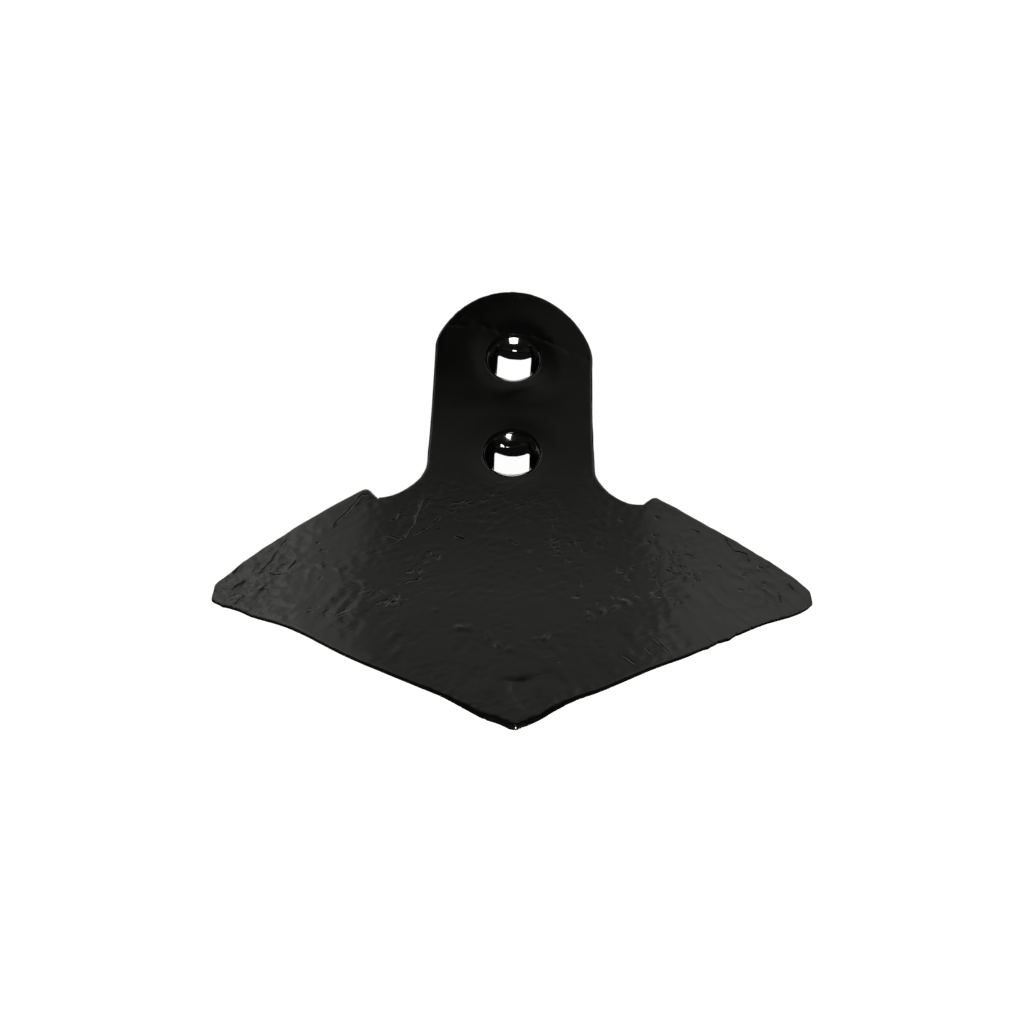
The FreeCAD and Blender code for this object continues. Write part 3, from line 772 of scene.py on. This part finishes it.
# %% [markdown]
# ## Floor, light and surroundings
#
# A black gloss surface shows its surroundings, so they are plain: a white floor, a sky that is
# white at the horizon and dim overhead, and a black curtain round the front, where the
# photographer stands, which glows faintly as painted light, most near the floor. Two broad soft
# lamps hang behind to the left and right, two more stand at the sides, and a small one in front
# makes the glints in the countersinks. The floor adds a little plain white for the camera, so
# that it stays white and the shadow stays light.

# %% Lay the floor
FLOOR_HALF = 6.0

sheet = bmesh.new()
bmesh.ops.create_grid(sheet, x_segments=1, y_segments=1, size=FLOOR_HALF)
bmesh.ops.translate(sheet, verts=sheet.verts, vec=(0, 0, cad_low.z - 0.02 * MM))
floor_mesh = bpy.data.meshes.new("pale_floor")
sheet.to_mesh(floor_mesh)
sheet.free()
floor = bpy.data.objects.new("pale_floor", floor_mesh)
bpy.context.scene.collection.objects.link(floor)

paper = bpy.data.materials.new("matt white studio paper")
paper.use_nodes = True
tree = paper.node_tree
tree.nodes.clear()
matt = add(tree, "ShaderNodeBsdfDiffuse", {"Color": from_hex("#f2f2f2")})
glow = add(tree, "ShaderNodeEmission", {"Color": (1, 1, 1, 1), "Strength": 1.2})
path = add(tree, "ShaderNodeLightPath")
seen = add(
    tree, "ShaderNodeMath", {"operation": "MAXIMUM"},
)
tree.links.new(path.outputs["Is Camera Ray"], seen.inputs[0])
tree.links.new(path.outputs["Is Glossy Ray"], seen.inputs[1])
seen_through = add(tree, "ShaderNodeMath", {"operation": "MAXIMUM"})
tree.links.new(seen.outputs[0], seen_through.inputs[0])
tree.links.new(path.outputs["Is Transmission Ray"], seen_through.inputs[1])
lift = add(tree, "ShaderNodeMath", {"operation": "MULTIPLY"})
lift.inputs[1].default_value = 0.8
tree.links.new(seen_through.outputs[0], lift.inputs[0])
mix = add(tree, "ShaderNodeMixShader", (), {"Fac": lift.outputs[0]})
tree.links.new(matt.outputs["BSDF"], mix.inputs[1])
tree.links.new(glow.outputs["Emission"], mix.inputs[2])
add(tree, "ShaderNodeOutputMaterial", (), {"Surface": mix.outputs["Shader"]})
floor_mesh.materials.append(paper)

# %% Set the sky
world = bpy.data.worlds.new("studio_sky")
bpy.context.scene.world = world
world.use_nodes = True
tree = world.node_tree
tree.nodes.clear()
way = add(tree, "ShaderNodeTexCoord").outputs["Generated"]
parts = add(tree, "ShaderNodeSeparateXYZ", (), {"Vector": way})
SKY = [
    (0.0, 1.0), (0.17, 1.0), (0.34, 0.65), (0.5, 0.43), (0.588, 0.38), (0.643, 0.41), (0.707, 0.33),
    (0.788, 0.27), (0.857, 0.22), (0.914, 0.14), (0.956, 0.02), (0.98, 0.0), (1.0, 0.0),
]
ramp = add(tree, "ShaderNodeValToRGB", (), {"Fac": parts.outputs["Z"]})
stops = ramp.color_ramp.elements
while len(stops) > 1:
    stops.remove(stops[-1])
stops[0].position = SKY[0][0]
stops[0].color = (SKY[0][1],) * 3 + (1,)
for height_share, level in SKY[1:]:
    stop = stops.new(height_share)
    stop.color = (level,) * 3 + (1,)
back_drop = add(tree, "ShaderNodeBackground", {"Strength": 1.0}, {"Color": ramp.outputs["Color"]})
add(tree, "ShaderNodeOutputWorld", (), {"Surface": back_drop.outputs["Background"]})

# %% Hang the lamps
def soft_lamp(name, where, wide, tall, watts, shape="RECTANGLE"):
    """A broad lamp that faces the middle of the point."""
    lamp = bpy.data.lights.new(name, "AREA")
    lamp.shape = shape
    lamp.size = wide
    lamp.size_y = tall
    lamp.energy = watts
    holder = bpy.data.objects.new(name, lamp)
    holder.location = where
    aim = Vector((0, -0.05, 0)) - Vector(where)
    holder.rotation_euler = aim.to_track_quat("-Z", "Y").to_euler()
    holder.visible_camera = False
    bpy.context.scene.collection.objects.link(holder)
    return holder


soft_lamp("left_back_softbox", (-0.54, 1.03, 1.04), 0.42, 0.85, 0.42)
soft_lamp("left_outer_softbox", (-0.74, 0.92, 0.99), 0.34, 0.80, 0.50)
soft_lamp("right_back_softbox", (0.56, 1.02, 1.07), 0.55, 0.85, 0.55)
soft_lamp("overhead_panel", (0.22, 0.28, 1.13), 0.38, 0.43, 0.08)
soft_lamp("left_softbox", (-1.1, 0.45, 0.75), 0.7, 0.7, 1.0)
soft_lamp("right_softbox", (1.1, 0.45, 0.75), 0.7, 0.7, 1.4)
soft_lamp("front_lamp", (0.0, -0.85, 0.22), 0.42, 0.36, 22.0, "ELLIPSE")
soft_lamp("high_front_lamp", (0.0, -0.55, 0.95), 0.2, 0.12, 0.9, "ELLIPSE")

# %% Hang the black curtain round the front
CURTAIN_RADIUS = 1.3
CURTAIN_HALF = math.radians(142)
CURTAIN_HIGH = math.radians(96)
CURTAIN_TOP = math.radians(84)
CURTAIN_LOW = math.radians(20)

curtain_sheet = bmesh.new()
bmesh.ops.create_grid(curtain_sheet, x_segments=72, y_segments=24, size=1.0)
for corner in curtain_sheet.verts:
    azimuth = corner.co.x * CURTAIN_HALF
    rise = (corner.co.y + 1) / 2 * (CURTAIN_TOP if abs(azimuth) < CURTAIN_HIGH else CURTAIN_LOW)
    corner.co = CURTAIN_RADIUS * Vector((
        math.sin(azimuth) * math.cos(rise), -math.cos(azimuth) * math.cos(rise), math.sin(rise)
    ))
curtain_mesh = bpy.data.meshes.new("black_curtain")
curtain_sheet.to_mesh(curtain_mesh)
curtain_sheet.free()
curtain = bpy.data.objects.new("black_curtain", curtain_mesh)
curtain.visible_camera = False
bpy.context.scene.collection.objects.link(curtain)
felt = bpy.data.materials.new("black felt with a painted glow")
felt.use_nodes = True
tree = felt.node_tree
tree.nodes.clear()
rise_of = add(tree, "ShaderNodeSeparateXYZ", (), {
    "Vector": add(tree, "ShaderNodeTexCoord").outputs["Generated"],
})
# the felt glows faintly, most near the floor and least at the top: painted light, as cloth sends none of its
# own
dim = add(
    tree, "ShaderNodeMapRange", {"To Min": 0.11, "To Max": 0.02}, {"Value": rise_of.outputs["Z"]}
)
painted_glow = add(
    tree, "ShaderNodeEmission", {"Color": (1, 1, 1, 1)}, {"Strength": dim.outputs["Result"]}
)
add(tree, "ShaderNodeOutputMaterial", (), {"Surface": painted_glow.outputs["Emission"]})
curtain_mesh.materials.append(felt)

# %% [markdown]
# ## Finish
#
# The dressed piece has to stay in the box of the solid model, and it was clipped to that box
# after the press. Last, the view transform is set to Standard.

# %% Set the view transform
bpy.context.scene.view_settings.view_transform = "Standard"
